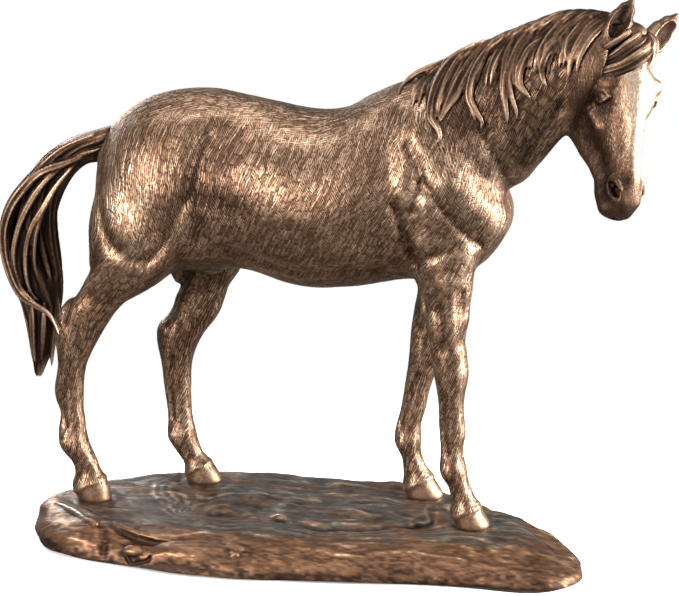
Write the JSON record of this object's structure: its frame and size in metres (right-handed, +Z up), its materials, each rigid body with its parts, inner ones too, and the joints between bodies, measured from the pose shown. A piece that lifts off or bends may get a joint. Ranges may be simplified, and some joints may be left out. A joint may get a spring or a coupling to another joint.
{
  "type": "horse statuette",
  "caption": "Standing horse in cast bronze with its head turned to one side, on a low rock plinth with felt under it.",
  "frame": {"origin": "on the table plane, on the felt's rest face under the barrel, in the horse's median plane", "axes": "+X towards the horse's chest, +Y to its left, +Z up"},
  "size_m": [0.2992, 0.1086, 0.2475],
  "materials": {
    "bronze": "brown patina, rubbed bright on the high places",
    "hair_bronze": "dark brown patina",
    "plinth_bronze": "dark brown patina, rough as cast",
    "steel": "zinc plated",
    "dowel_steel": "ground",
    "felt": "pressed felt"
  },
  "bodies": {
    "root": {"torso": "bronze", "neck": "bronze", "head": "bronze", "mane": "hair_bronze", "forelock": "hair_bronze", "tail": "hair_bronze", "front_right_leg": "bronze", "front_left_leg": "bronze", "hind_right_leg": "bronze", "hind_left_leg": "bronze", "plinth": "plinth_bronze", "felt_pad": "felt", "hoof_studs": "steel", "hoof_washers": "steel", "hoof_nuts": "steel", "leg_dowels": "dowel_steel", "neck_dowels": "dowel_steel", "head_dowels": "dowel_steel", "mane_pins": "dowel_steel", "forelock_pin": "dowel_steel"}
  },
  "joints": []
}
